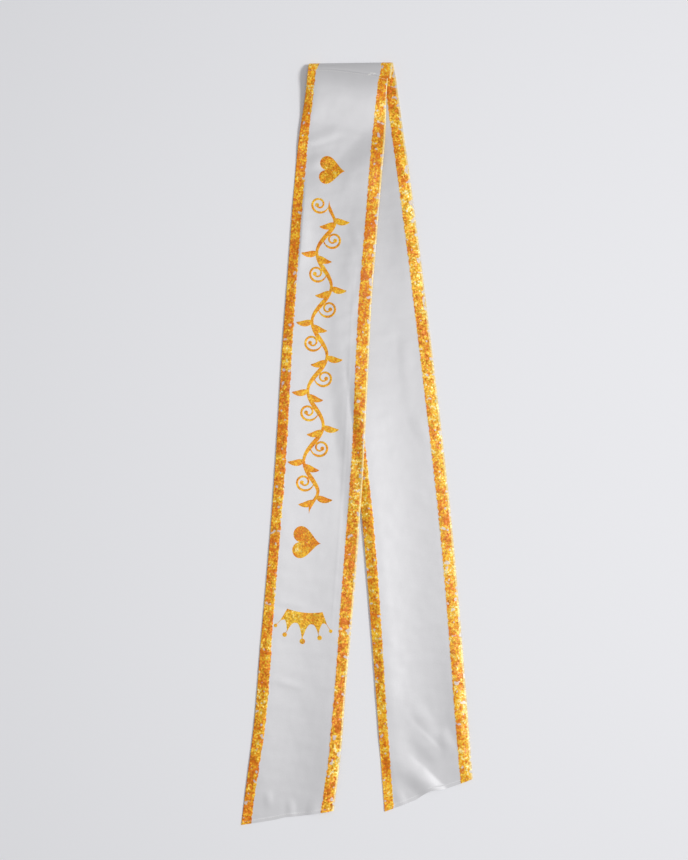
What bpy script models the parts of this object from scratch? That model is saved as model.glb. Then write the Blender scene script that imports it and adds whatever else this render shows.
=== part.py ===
"""A printed satin pageant sash, folded once at the shoulder and laid flat.

Two strips of 4 inch satin are joined by a seam across the shoulder.  The back strip lies on the
surface, turns over in a soft bight at the top, and meets the front strip just past the fold.  The
front strip comes down over the back one and slides off it to the left, so the two falls spread.

The whole sash is worked out as one flat band with its own measure: "across" runs from the narrow
hem (negative) to the wide hem (positive), and "along" runs from the back hem (negative) through the
fold (zero) to the front hem (positive).  A course of headings bends the band in plan, the fold
wraps it, and rows of the tables below lift it in folds.  Metres and degrees throughout.
"""

import math

import bmesh
import bpy
import numpy as np

# Cloth
SASH_WIDTH = 0.1016
HALF_WIDTH = SASH_WIDTH / 2
WALL = 0.0011
HEM_STEP = 0.0004
NARROW_HEM = 0.0118
WIDE_HEM = 0.0148
END_HEM = 0.0040
SEAM_ALLOWANCE = 0.0050
HEM_BLEND = 0.0012
PIECE_GAP = 0.0003

# The fold at the shoulder: its outer side is half an ellipse seen from the side
APEX_X, APEX_Y = -0.00664, 0.44107
CREASE_TURN = 0.8
BIGHT_DEPTH = 0.0090
BIGHT_HEIGHT = 0.0074
SEAM_ALONG = 0.0145
SEAM_SAG = 0.0030
BEND_START = -0.0400

# How the front strip comes down from the fold onto the back strip, and off it onto the surface
DESCENT_LENGTH = 0.135
LAYER_LIFT = WALL + HEM_STEP + PIECE_GAP
SIDESTEP_MARGIN = 0.0015
BRIDGE = 1.2
SIDESTEP_RAMP = 0.0220

# The hems curl down and in where the front strip leaves the shoulder seam.  width: how far in from
# the edge the curl reaches.  fade: stretch of along over which it dies away.
CURLS = (
    # side, width, draw, drop, fade
    (-1, 0.0200, 0.0022, 0.0030, (0.040, 0.110)),
    (1, 0.0260, 0.0048, 0.0036, (0.010, 0.100)),
)
CURL_DROP_LENGTH = 0.025

# The bend is drawn in a little at its two ends
BEND_DRAWS = (
    # side, draw
    (-1, 0.0020),
    (1, 0.0014),
)
BEND_DRAW_LENGTH = 0.030

# Where a fall is drawn in at one edge, because its folds take up cloth.  A draw below 0 lets it out.
EDGE_DRAWS = (
    # side, along, length, draw
    (-1, 0.2600, 0.2200, 0.0007),
    (-1, 0.7700, 0.1900, 0.0015),
    (1, 0.2900, 0.1600, 0.0008),
    (1, 0.8000, 0.1600, -0.0013),
)

# Ends: the narrow-hem edge is the longer one at both ends
FRONT_LENGTH = 0.8784
BACK_LENGTH = 0.8550
END_SLANT = 15.8

# along: distance from the fold.  heading: turn of the band from square to the crease, positive
# towards the wide hem as the eye moves from back hem to front hem.
COURSE = (
    # along, heading
    (-0.870, -3.6),
    (-0.800, -3.2),
    (-0.700, -3.3),
    (-0.600, -3.8),
    (-0.500, -5.2),
    (-0.400, -5.6),
    (-0.300, -5.8),
    (-0.200, -6.4),
    (-0.100, -6.8),
    (-0.030, -6.2),
    (0.000, -7.2),
    (0.050, -7.5),
    (0.100, -6.2),
    (0.200, -5.2),
    (0.300, -4.4),
    (0.400, -3.7),
    (0.500, -4.4),
    (0.600, -5.5),
    (0.700, -6.0),
    (0.800, -6.4),
    (0.900, -8.2),
)

# Long soft ridges beside the hems, with the cloth hanging from them.  across: crest.  narrow_foot,
# wide_foot: how far the ridge reaches on each side of its crest.  grow: stretch of along over which
# the ridge reaches its height, and fade: over which it dies away.
RIDGES = (
    # fall, across, narrow_foot, wide_foot, height, grow, fade
    ("front", -0.0400, 0.0200, 0.0360, 0.0028, (0.12, 0.20), (0.60, 0.72)),
    ("front", 0.0400, 0.0320, 0.0260, 0.0034, (0.10, 0.18), (0.20, 0.34)),
    ("front", 0.0400, 0.0320, 0.0260, 0.0014, (0.50, 0.60), (0.62, 0.74)),
    ("front", -0.0390, 0.0200, 0.0340, 0.0026, (0.60, 0.72), (0.83, 0.90)),
    ("front", 0.0420, 0.0320, 0.0260, 0.0030, (0.64, 0.82), (0.90, 0.96)),
    ("back", 0.0400, 0.0300, 0.0260, 0.0038, (0.08, 0.13), (0.22, 0.32)),
    ("back", -0.0400, 0.0160, 0.0340, 0.0036, (0.36, 0.46), (0.74, 0.82)),
    ("back", 0.0410, 0.0290, 0.0260, 0.0020, (0.38, 0.46), (0.82, 0.88)),
)

# Folds.  along and across: crest's middle.  narrow_foot, wide_foot: reach on each side of the crest.
# turn: the crest's direction from the band's length, positive towards the wide hem.
FOLDS = (
    # fall, along, across, length, narrow_foot, wide_foot, height, turn
    ("front", 0.0360, 0.0000, 0.3000, 0.0480, 0.0360, 0.0044, 82.0),
    ("front", 0.1190, 0.0330, 0.1300, 0.0330, 0.0450, 0.0042, -40.0),
    ("front", 0.0930, -0.0200, 0.0600, 0.0110, 0.0090, 0.0007, -64.0),
    ("front", 0.8610, -0.0240, 0.0440, 0.0090, 0.0090, 0.0012, 10.0),
    ("front", 0.8720, 0.0020, 0.0480, 0.0100, 0.0090, 0.0015, 6.0),
    ("back", 0.7900, 0.0010, 0.0700, 0.0200, 0.0060, 0.0009, 42.0),
    ("back", 0.8310, -0.0030, 0.1100, 0.0210, 0.0090, 0.0028, 43.0),
    ("back", 0.8000, 0.0330, 0.0400, 0.0110, 0.0090, 0.0012, 30.0),
)

# Where an end hem draws back: the folds above take up cloth there
HEM_DRAWS = (
    # fall, across, width, depth
    ("back", 0.0080, 0.0390, 0.0062),
    ("front", -0.0020, 0.0300, 0.0010),
)

# Spacing of the sections
SECTION_STEP = 0.0092
FOLDED_STEP = 0.0046
BEND_STEP = 0.0019
FLAT_ROWS = 3
INNER_COLUMNS = 12

SATIN_WHITE = (0.80, 0.80, 0.82, 1.0)
SATIN_BACK_WHITE = (0.77, 0.77, 0.79, 1.0)
SATIN_ROUGHNESS = 0.38


def smoothstep(x):
    """0 below 0, 1 above 1, and level at both."""
    x = np.clip(x, 0.0, 1.0)
    return x * x * (3.0 - 2.0 * x)


def swell(x):
    """A soft hump: 1 at x = 0, down to 0 at x = -1 and 1, and level at all three."""
    return np.cos(np.clip(x, -1.0, 1.0) * math.pi / 2) ** 2


def hang(x):
    """A ridge at x = 0 with cloth hanging from it: steepest beside the ridge, level at x = -1 and 1.

    One less the rounded distance from the ridge, squared, and scaled to 1 at the ridge.
    """
    rounding = 0.2
    far = np.sqrt((np.clip(x, -1.0, 1.0) ** 2 + rounding**2) / (1.0 + rounding**2))
    near = rounding / math.sqrt(1.0 + rounding**2)
    return ((1.0 - far) / (1.0 - near)) ** 2


def uneven(shape, x, low_foot, high_foot):
    """A shape with its crest at x = 0 that reaches low_foot below it and high_foot above it."""
    return shape(np.where(x < 0, x / low_foot, x / high_foot))


def middle_line():
    """(along, sideways, past) samples of the band's middle in the unrolled plane, and its heading.

    sideways runs along the crease and past runs square to it.  The heading is integrated both ways
    from the fold, where all three are zero.
    """
    step = 0.001
    table = np.array(COURSE)
    along = np.arange(table[0, 0], table[-1, 0] + step / 2, step)
    heading = np.radians(np.interp(along, table[:, 0], table[:, 1]))
    sideways = np.concatenate(([0.0], np.cumsum((np.sin(heading[1:]) + np.sin(heading[:-1])) / 2 * step)))
    past = np.concatenate(([0.0], np.cumsum((np.cos(heading[1:]) + np.cos(heading[:-1])) / 2 * step)))
    sideways -= np.interp(0.0, along, sideways)
    past -= np.interp(0.0, along, past)
    return along, sideways, past, heading


ALONG, SIDEWAYS, PAST, HEADING = middle_line()


def bight_curve():
    """Samples of the fold seen from the side: (arc length from its apex, angle round the ellipse)."""
    angle = np.linspace(0.0, math.pi, 721)
    into, height, normal_in, normal_up = bight_point(angle)
    middle_in = into - normal_in * WALL / 2
    middle_up = height - normal_up * WALL / 2
    run = np.concatenate(([0.0], np.cumsum(np.hypot(np.diff(middle_in), np.diff(middle_up)))))
    return run - run[-1] / 2, angle


def bight_point(angle):
    """The fold's outer side: distance in from the apex, height, and outward normal.

    angle 0 is on the surface, a quarter turn is the apex, and a half turn is the top.
    """
    half_height = BIGHT_HEIGHT / 2
    into = BIGHT_DEPTH * (1.0 - np.sin(angle))
    height = half_height * (1.0 - np.cos(angle))
    normal_in, normal_up = -np.sin(angle) / BIGHT_DEPTH, -np.cos(angle) / half_height
    size = np.hypot(normal_in, normal_up)
    return into, height, normal_in / size, normal_up / size


BIGHT_RUN, BIGHT_ANGLE = bight_curve()
HALF_RUN = BIGHT_RUN[-1]


def plan(sideways, into):
    """Plan position of a point: sideways along the crease, and in from the fold's apex."""
    turn = math.radians(CREASE_TURN)
    x = APEX_X + sideways * math.cos(turn) + into * math.sin(turn)
    y = APEX_Y + sideways * math.sin(turn) - into * math.cos(turn)
    return x, y


def across_back_fall(x, y):
    """How far across the back fall a plan point lies, past its edges too."""
    on_back = ALONG <= -HALF_RUN
    into = BIGHT_DEPTH - PAST[on_back] - HALF_RUN
    line_x, line_y = plan(SIDEWAYS[on_back], into)
    heading = -HEADING[on_back] + math.radians(CREASE_TURN)
    order = np.argsort(line_y)
    middle_x = np.interp(y, line_y[order], line_x[order])
    return (x - middle_x) * np.cos(np.interp(y, line_y[order], heading[order]))


def seam_at(across):
    """Where the shoulder seam lies along the band: a shallow arc, nearest the fold in the middle."""
    return SEAM_ALONG + SEAM_SAG * ((across / HALF_WIDTH) ** 2 - 0.4)


def end_slant(across):
    """How much further along the end hem lies at this place across than in the middle."""
    return -across * math.tan(math.radians(END_SLANT))


def end_of(fall, across):
    """Distance from the fold to the end hem."""
    length = FRONT_LENGTH if fall == "front" else BACK_LENGTH
    end = length + end_slant(across)
    for row_fall, centre, width, depth in HEM_DRAWS:
        if row_fall == fall:
            end = end - depth * swell((across - centre) / (width / 2))
    return end


def thickness(across, along):
    """The wall, thicker by a turned layer in the side hems, the end hems and the shoulder seam."""
    from_narrow = across + HALF_WIDTH
    from_wide = HALF_WIDTH - across
    front = along > seam_at(across)
    from_end = np.where(
        along > 0, end_of("front", across) - along, end_of("back", across) + along
    )
    from_seam = np.abs(along - seam_at(across))
    turned = np.zeros_like(across)
    for distance, hem in (
        (from_narrow, NARROW_HEM),
        (from_wide, WIDE_HEM),
        (from_end, END_HEM),
        (from_seam, SEAM_ALLOWANCE),
    ):
        turned = np.maximum(turned, 1.0 - smoothstep((distance - hem) / HEM_BLEND + 0.5))
    return WALL + HEM_STEP * turned


def drawn_in(across, along):
    """How far the hems are pulled sideways, and how far the front strip's curl drops them."""
    drawn = np.zeros_like(across)
    dropped = np.zeros_like(across)
    front = along > seam_at(across)
    for side, width, draw, drop, fade in CURLS:
        curl = np.clip((side * across - HALF_WIDTH + width) / width, 0.0, 1.0) ** 2 * front
        curl = curl * (1.0 - smoothstep((along - fade[0]) / (fade[1] - fade[0])))
        drawn = drawn - side * draw * curl
        dropped = dropped + drop * curl * smoothstep((along - seam_at(across)) / CURL_DROP_LENGTH)
    for side, middle, length, draw in EDGE_DRAWS:
        share = np.clip(side * across / HALF_WIDTH, 0.0, 1.0) * swell((along - middle) / (length / 2))
        drawn = drawn - side * draw * share
    for side, draw in BEND_DRAWS:
        share = np.clip(side * across / HALF_WIDTH, 0.0, 1.0) * ~front
        drawn = drawn - side * draw * share * smoothstep(1.0 + along / BEND_DRAW_LENGTH)
    return drawn, dropped


def lift(fall, across, along):
    """Height that the ridges and folds of one fall add.  along is counted from the fold."""
    height = np.zeros_like(across)
    for row_fall, crest, narrow_foot, wide_foot, rise, grow, fade in RIDGES:
        if row_fall == fall:
            up = smoothstep((along - grow[0]) / (grow[1] - grow[0]))
            down = 1.0 - smoothstep((along - fade[0]) / (fade[1] - fade[0]))
            height = height + rise * uneven(hang, across - crest, narrow_foot, wide_foot) * up * down
    for row_fall, middle, crest, length, narrow_foot, wide_foot, rise, turn in FOLDS:
        if row_fall == fall:
            turn = math.radians(turn)
            ahead, beside = along - middle, across - crest
            on_crest = ahead * math.cos(turn) + beside * math.sin(turn)
            off_crest = beside * math.cos(turn) - ahead * math.sin(turn)
            hump = uneven(swell, off_crest, narrow_foot, wide_foot)
            height = height + rise * swell(on_crest / (length / 2)) * hump
    return height


def faces_at(across, along):
    """Points of the printed face and of the plain face at each (across, along), as two arrays.

    The printed face is under the back fall, outside the bend and on top of the front fall.
    """
    across, along = np.broadcast_arrays(np.asarray(across, float), np.asarray(along, float))
    drawn, dropped = drawn_in(across, along)
    placed = across + drawn
    heading = np.interp(along, ALONG, HEADING)
    sideways = np.interp(along, ALONG, SIDEWAYS) + placed * np.cos(heading)
    past = np.interp(along, ALONG, PAST) - placed * np.sin(heading)
    wall = thickness(across, along)

    # On the bend
    angle = np.interp(past, BIGHT_RUN, BIGHT_ANGLE)
    into, height, normal_in, normal_up = bight_point(angle)
    printed_in, printed_up = into, height
    plain_in, plain_up = into - wall * normal_in, height - wall * normal_up

    # Before it, the back fall rests on the surface
    on_back = past <= -HALF_RUN
    flat_in = BIGHT_DEPTH - past - HALF_RUN
    raised = lift("back", across, -along)
    printed_in, plain_in = np.where(on_back, flat_in, printed_in), np.where(on_back, flat_in, plain_in)
    printed_up = np.where(on_back, raised, printed_up)
    plain_up = np.where(on_back, raised + wall, plain_up)

    # After it, the front fall comes down onto the back fall and steps off it
    on_front = past >= HALF_RUN
    front_in = BIGHT_DEPTH + past - HALF_RUN
    on_fall = across_back_fall(*plan(sideways, front_in))
    fall_along = np.interp(BIGHT_DEPTH - HALF_RUN - front_in, PAST, ALONG) + on_fall * np.sin(heading)
    below = lift("back", np.maximum(on_fall, -HALF_WIDTH), np.maximum(-fall_along, 0.0))
    beyond = -HALF_WIDTH - SIDESTEP_MARGIN - on_fall
    resting = (LAYER_LIFT + BRIDGE * below) * (1.0 - smoothstep(beyond / SIDESTEP_RAMP))
    held_up = 1.0 - smoothstep((front_in - BIGHT_DEPTH) / DESCENT_LENGTH)
    under = resting + (BIGHT_HEIGHT - wall - resting) * held_up + lift("front", across, along) - dropped
    printed_in, plain_in = np.where(on_front, front_in, printed_in), np.where(on_front, front_in, plain_in)
    printed_up = np.where(on_front, under + wall, printed_up)
    plain_up = np.where(on_front, under, plain_up)

    printed = np.stack([*plan(sideways, printed_in), printed_up], axis=-1)
    plain = np.stack([*plan(sideways, plain_in), plain_up], axis=-1)
    return printed, plain


def columns():
    """Places across for the mesh's columns: both sides of each hem's inner edge, and evenly between."""
    half = HEM_BLEND / 2
    narrow = -HALF_WIDTH + NARROW_HEM
    wide = HALF_WIDTH - WIDE_HEM
    inner = np.linspace(narrow + half, wide - half, INNER_COLUMNS)
    return np.concatenate(
        ([-HALF_WIDTH, narrow - half], inner, [wide + half, (wide + half + HALF_WIDTH) / 2, HALF_WIDTH])
    )


def stations(start, end, close_stretches, hem_at_end, hem_at_start=0.0):
    """Distances for the mesh's rows from start to end, closer together within close_stretches."""
    rows = [start]
    if hem_at_start:
        rows += [start + hem_at_start - HEM_BLEND / 2, start + hem_at_start + HEM_BLEND / 2]
    stop = end - hem_at_end - HEM_BLEND / 2
    while rows[-1] < stop:
        close = any(low <= rows[-1] < high for low, high in close_stretches)
        rows.append(rows[-1] + (FOLDED_STEP if close else SECTION_STEP))
    rows[-1] = stop
    rows += [end - hem_at_end + HEM_BLEND / 2, end]
    return np.array(rows)


def satin(name, colour):
    material = bpy.data.materials.new(name)
    material.use_nodes = True
    shader = material.node_tree.nodes["Principled BSDF"]
    shader.inputs["Base Color"].default_value = colour
    shader.inputs["Roughness"].default_value = SATIN_ROUGHNESS
    shader.inputs["Metallic"].default_value = 0.0
    material.diffuse_color = colour
    return material


def cloth_wall(name, across, along, material):
    """One closed cloth wall between the printed face and the plain face, on a grid of sections."""
    printed, plain = faces_at(across, along)
    rows, cols = across.shape
    points = np.concatenate([printed.reshape(-1, 3), plain.reshape(-1, 3)])
    index = np.arange(rows * cols).reshape(rows, cols)
    under = index + rows * cols
    quads = []

    def skin(grid):
        corners = (grid[:-1, :-1], grid[:-1, 1:], grid[1:, 1:], grid[1:, :-1])
        return np.stack(corners, axis=-1).reshape(-1, 4)

    def rim(first, second):
        corners = (first[:-1], first[1:], second[1:], second[:-1])
        return np.stack(corners, axis=-1)

    quads.append(skin(index))
    quads.append(skin(under)[:, ::-1])
    quads.append(rim(index[0], under[0])[:, ::-1])
    quads.append(rim(index[-1], under[-1]))
    quads.append(rim(index[:, 0], under[:, 0]))
    quads.append(rim(index[:, -1], under[:, -1])[:, ::-1])

    mesh = bpy.data.meshes.new(name)
    mesh.from_pydata(points.tolist(), [], np.concatenate(quads).tolist())
    mesh.materials.append(material)
    cloth = bpy.data.objects.new(name, mesh)
    bpy.context.scene.collection.objects.link(cloth)
    body = bmesh.new()
    body.from_mesh(mesh)
    bmesh.ops.recalc_face_normals(body, faces=body.faces)
    body.to_mesh(mesh)
    body.free()
    mesh.shade_smooth()
    mesh.set_sharp_from_angle(angle=math.radians(40))
    return cloth


def front_fall(material):
    """The printed strip, from the shoulder seam down to its slanted hem."""
    across = columns()[None, :]
    close = ((0.0, 0.16), (0.81, 1.0))
    share = stations(SEAM_ALONG, FRONT_LENGTH, close, END_HEM, SEAM_ALLOWANCE)
    share = ((share - SEAM_ALONG) / (FRONT_LENGTH - SEAM_ALONG))[:, None]
    start = seam_at(across) + PIECE_GAP / 2
    along = start + share * (end_of("front", across) - start)
    return cloth_wall("front_fall", np.broadcast_to(across, along.shape), along, material)


def shoulder_bend(material):
    """The stretch of the back strip that turns over at the shoulder, up to the seam."""
    across = columns()[None, :]
    end = seam_at(across) - PIECE_GAP / 2
    crossing = abs(np.interp(0.0, ALONG, HEADING))
    turn_start = -HALF_RUN - HALF_WIDTH * math.sin(crossing)
    flat = np.linspace(BEND_START, turn_start, FLAT_ROWS, endpoint=False)
    share = np.linspace(0.0, 1.0, int((SEAM_ALONG - turn_start) / BEND_STEP))[:, None]
    turn = turn_start + share * (end - turn_start)
    along = np.concatenate((np.broadcast_to(flat[:, None], (FLAT_ROWS, across.shape[1])), turn))
    return cloth_wall("shoulder_bend", np.broadcast_to(across, along.shape), along, material)


def back_fall(material):
    """The stretch of the back strip that lies on the surface, from the bend to its slanted hem."""
    across = columns()[None, :]
    start = -BEND_START + PIECE_GAP
    share = stations(start, BACK_LENGTH, ((0.76, 1.0),), END_HEM)
    share = ((share - start) / (BACK_LENGTH - start))[:, None]
    along = start + share * (end_of("back", across) - start)
    return cloth_wall("back_fall", np.broadcast_to(across, along.shape), -along, material)


def main():
    for thing in list(bpy.data.objects):
        bpy.data.objects.remove(thing)
    white = satin("printed satin", SATIN_WHITE)
    back_white = satin("plain satin", SATIN_BACK_WHITE)
    front_fall(white)
    shoulder_bend(back_white)
    back_fall(back_white)


main()
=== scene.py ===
"""A printed satin pageant sash, folded once at the shoulder and laid flat.

The sash is one flat band with its own measure, as on a cutting table: "across" runs from the narrow
border (negative) to the wide border (positive), and "along" runs from the back hem (negative) through
the shoulder fold (zero) to the front hem (positive).  lay_band turns that measure into places in the
room, and every piece is worked out in it: the two strips as cloth, the print as thin films and the
thread as beads on the cloth.  Metres and degrees throughout.
"""

import math

import bpy
import numpy as np
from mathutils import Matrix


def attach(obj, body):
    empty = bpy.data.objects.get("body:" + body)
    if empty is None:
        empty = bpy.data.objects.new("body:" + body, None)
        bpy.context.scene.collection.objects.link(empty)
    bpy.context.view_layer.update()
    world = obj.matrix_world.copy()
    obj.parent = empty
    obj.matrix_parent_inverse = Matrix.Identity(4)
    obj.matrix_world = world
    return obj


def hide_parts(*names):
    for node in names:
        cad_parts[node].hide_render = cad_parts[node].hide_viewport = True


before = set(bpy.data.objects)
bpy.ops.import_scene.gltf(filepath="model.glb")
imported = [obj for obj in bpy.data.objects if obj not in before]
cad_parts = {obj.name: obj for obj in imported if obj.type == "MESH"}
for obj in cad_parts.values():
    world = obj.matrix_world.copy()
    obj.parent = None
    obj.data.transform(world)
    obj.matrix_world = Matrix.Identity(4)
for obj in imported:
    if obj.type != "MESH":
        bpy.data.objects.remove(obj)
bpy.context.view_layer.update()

bl_info = {
    "name": "Pageant sash",
    "version": (1, 0, 0),
    "blender": (4, 5, 0),
    "location": "3D View > Sidebar > Sash",
    "description": "Builds a printed satin pageant sash, laid flat, with its studio",
    "category": "Object",
}

BODY = "root"

# The fold at the shoulder: its outer side is half an ellipse seen from the side
APEX_X, APEX_Y = -0.00664, 0.44107
CREASE_TURN = 0.8
BIGHT_DEPTH = 0.0090
BIGHT_HEIGHT = 0.0074
BIGHT_SAMPLES = 721

# The shoulder seam is a shallow arc: its distance past the fold, its depth, and the share of that
# depth that lies on the fold's side
SEAM_ALONG = 0.0145
SEAM_SAG = 0.0030
SEAM_LEVEL = 0.4

# How the front strip comes down from the fold onto the back strip, and off it onto the surface
DESCENT_LENGTH = 0.135
SIDESTEP_MARGIN = 0.0015
SIDESTEP_RAMP = 0.0220

# Ends: the narrow-border edge is the longer one at both ends
FRONT_LENGTH = 0.8784
BACK_LENGTH = 0.8550
END_SLANT = 15.8

# along: distance from the fold.  heading: turn of the band from square to the crease, positive
# towards the wide border as the eye moves from back hem to front hem.
COURSE = (
    # along, heading
    (-0.870, -3.6),
    (-0.800, -3.2),
    (-0.700, -3.3),
    (-0.600, -3.8),
    (-0.500, -5.2),
    (-0.400, -5.6),
    (-0.300, -5.8),
    (-0.200, -6.4),
    (-0.100, -6.8),
    (-0.030, -6.2),
    (0.000, -7.2),
    (0.050, -7.5),
    (0.100, -6.2),
    (0.200, -5.2),
    (0.300, -4.4),
    (0.400, -3.7),
    (0.500, -4.4),
    (0.600, -5.5),
    (0.700, -6.0),
    (0.800, -6.4),
    (0.900, -8.2),
)

# Widths of the printed borders along the band; the back hem has the lowest along
BORDERS = (
    # along, narrow, wide
    (-0.860, 0.0106, 0.0136),
    (-0.760, 0.0104, 0.0146),
    (-0.640, 0.0118, 0.0140),
    (-0.540, 0.0126, 0.0142),
    (-0.400, 0.0120, 0.0144),
    (-0.200, 0.0120, 0.0144),
    (-0.060, 0.0120, 0.0140),
    (0.000, 0.0128, 0.0138),
    (0.014, 0.0118, 0.0138),
    (0.016, 0.0116, 0.0150),
    (0.093, 0.0115, 0.0156),
    (0.180, 0.0118, 0.0150),
    (0.274, 0.0114, 0.0156),
    (0.367, 0.0122, 0.0152),
    (0.460, 0.0125, 0.0140),
    (0.553, 0.0118, 0.0148),
    (0.646, 0.0119, 0.0146),
    (0.693, 0.0130, 0.0132),
    (0.739, 0.0139, 0.0128),
    (0.786, 0.0136, 0.0134),
    (0.820, 0.0123, 0.0132),
    (0.861, 0.0112, 0.0142),
)

# The borders curl down and in where the front strip leaves the shoulder seam.  width: how far in
# from the edge the curl reaches.  fade: stretch of along over which it dies away.  The drop reaches
# its full depth CURL_DROP_LENGTH past the seam.
CURLS = (
    # side, width, draw, drop, fade
    (-1, 0.0200, 0.0022, 0.0030, (0.040, 0.110)),
    (1, 0.0260, 0.0048, 0.0036, (0.010, 0.100)),
)
CURL_DROP_LENGTH = 0.025

# The bend is drawn in a little at its two ends, more and more over the last stretch before the fold
BEND_DRAWS = (
    # side, draw
    (-1, 0.0020),
    (1, 0.0014),
)
BEND_DRAW_LENGTH = 0.030

# Long soft rolls beside the borders.  across: crest.  narrow_foot, wide_foot: how far the roll
# reaches on each side of its crest.  grow: stretch of along over which the roll reaches its height,
# and fade: over which it dies away.
ROLLS = (
    # fall, across, narrow_foot, wide_foot, height, grow, fade
    ("front", -0.0400, 0.0200, 0.0460, 0.0028, (0.120, 0.200), (0.580, 0.700)),
    ("front", -0.0370, 0.0060, 0.0240, 0.0019, (0.130, 0.168), (0.225, 0.270)),
    ("front", 0.0400, 0.0440, 0.0260, 0.0025, (0.120, 0.180), (0.200, 0.290)),
    ("front", 0.0400, 0.0440, 0.0260, 0.0015, (0.160, 0.260), (0.340, 0.420)),
    ("front", 0.0400, 0.0440, 0.0260, 0.0014, (0.520, 0.600), (0.620, 0.740)),
    ("front", 0.0285, 0.0026, 0.0024, 0.00016, (0.230, 0.270), (0.620, 0.700)),
    ("front", 0.0420, 0.0420, 0.0260, 0.0034, (0.640, 0.820), (0.900, 0.960)),
    ("front", -0.0390, 0.0200, 0.0440, 0.0030, (0.600, 0.720), (0.830, 0.900)),
    ("back", 0.0400, 0.0420, 0.0260, 0.0042, (0.080, 0.130), (0.220, 0.340)),
    ("back", -0.0400, 0.0200, 0.0520, 0.0048, (0.330, 0.430), (0.560, 0.700)),
    ("back", -0.0390, 0.0200, 0.0460, 0.0044, (0.560, 0.700), (0.740, 0.810)),
    ("back", 0.0410, 0.0460, 0.0260, 0.0027, (0.260, 0.400), (0.820, 0.880)),
    ("back", 0.0400, 0.0240, 0.0200, 0.0016, (0.660, 0.750), (0.780, 0.815)),
)

# Folds and soft swells of the cloth.  along and across: crest's middle.  narrow_foot, wide_foot:
# reach on each side of the crest.  turn: the crest's direction from the band's length, positive
# towards the wide border.
FOLDS = (
    # fall, along, across, length, narrow_foot, wide_foot, height, turn
    ("front", 0.0360, 0.0000, 0.3000, 0.0480, 0.0360, 0.0056, 82.0),
    ("front", 0.1190, 0.0330, 0.1300, 0.0300, 0.0450, 0.0044, -40.0),
    ("front", 0.0660, -0.0400, 0.0450, 0.0100, 0.0220, 0.0010, 0.0),
    ("front", 0.1400, 0.0380, 0.0560, 0.0180, 0.0120, 0.0009, 0.0),
    ("front", 0.0930, -0.0200, 0.0600, 0.0110, 0.0090, 0.0007, -64.0),
    ("front", 0.1220, -0.0230, 0.0500, 0.0130, 0.0120, 0.0011, -70.0),
    ("front", 0.1000, -0.0380, 0.0300, 0.0050, 0.0060, 0.0004, 84.0),
    ("front", 0.2150, 0.0300, 0.0700, 0.0090, 0.0060, 0.0005, 24.0),
    ("front", 0.2500, 0.0230, 0.1000, 0.0140, 0.0110, 0.0006, 0.0),
    ("front", 0.2800, 0.0330, 0.0600, 0.0060, 0.0060, 0.0004, -4.0),
    ("front", 0.4700, -0.0270, 0.0900, 0.0120, 0.0160, 0.0003, 0.0),
    ("front", 0.6400, -0.0200, 0.0700, 0.0060, 0.0070, 0.0003, 86.0),
    ("front", 0.7300, -0.0150, 0.0600, 0.0060, 0.0080, 0.0003, 78.0),
    ("front", 0.8600, -0.0240, 0.0260, 0.0070, 0.0070, 0.0007, 10.0),
    ("front", 0.8680, 0.0030, 0.0300, 0.0080, 0.0070, 0.0009, 6.0),
    ("front", 0.8760, 0.0270, 0.0600, 0.0110, 0.0090, 0.0012, -6.0),
    ("back", 0.3600, 0.0200, 0.1500, 0.0120, 0.0130, 0.0006, -5.0),
    ("back", 0.4400, 0.0280, 0.0700, 0.0140, 0.0080, 0.0007, 20.0),
    ("back", 0.7700, 0.0010, 0.0600, 0.0120, 0.0120, 0.0008, 25.0),
    ("back", 0.7900, 0.0010, 0.0700, 0.0200, 0.0050, 0.0006, 42.0),
    ("back", 0.8040, 0.0040, 0.0600, 0.0140, 0.0250, 0.0010, 43.0),
    ("back", 0.8060, -0.0400, 0.1000, 0.0120, 0.0310, 0.0024, 10.0),
    ("back", 0.7960, 0.0240, 0.0400, 0.0120, 0.0110, 0.0014, 20.0),
    ("back", 0.8560, -0.0330, 0.0400, 0.0090, 0.0090, 0.0008, 20.0),
)

# Folds whose wide side ends in a crease.  The columns are those of FOLDS.
CREASES = (
    # fall, along, across, length, narrow_foot, wide_foot, height, turn
    ("back", 0.8440, 0.0001, 0.1050, 0.0180, 0.0118, 0.0032, 43.0),
)

# Fine crumple of the satin: waves of a few millimetres, each with its own length, direction and place.
# Its middle height is CRUMPLE_LIFT and deeper troughs are flat.  It sets in a little past the fold.
CRUMPLE_WAVES = 26
CRUMPLE_LENGTHS = (0.009, 0.034)
CRUMPLE_SLOPE = 0.022
CRUMPLE_SEED = 7
CRUMPLE_LIFT = 0.00008
CRUMPLE_START, CRUMPLE_ONSET = 0.02, 0.04

# Where an end hem draws back: the folds above take up cloth there
HEM_DRAWS = (
    # fall, across, width, depth
    ("back", 0.0020, 0.0390, 0.0042),
    ("front", -0.0020, 0.0300, 0.0010),
)

# Where a fall is drawn in at one edge, because its folds take up cloth.  A draw below 0 lets it out.
EDGE_DRAWS = (
    # side, along, length, draw
    (-1, 0.2600, 0.2200, 0.0007),
    (-1, 0.7700, 0.1900, 0.0015),
    (1, 0.2900, 0.1600, 0.0008),
    (1, 0.8000, 0.1600, -0.0013),
)

# The rims are turned edges: how far in they round over, and how deep, as a share of the thickness
RIM_ROUND = 0.0013
RIM_DEPTH = 0.8

# How deep the two strips dip into their seam, how far from it the dip reaches, and the gap in it
SEAM_DIP = 0.00035
SEAM_DIP_REACH = 0.0016
SEAM_GAP = 0.00012

# Over how far the cloth thickens at a border's or a hem's edge
EDGE_BLEND = 0.0009

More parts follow.
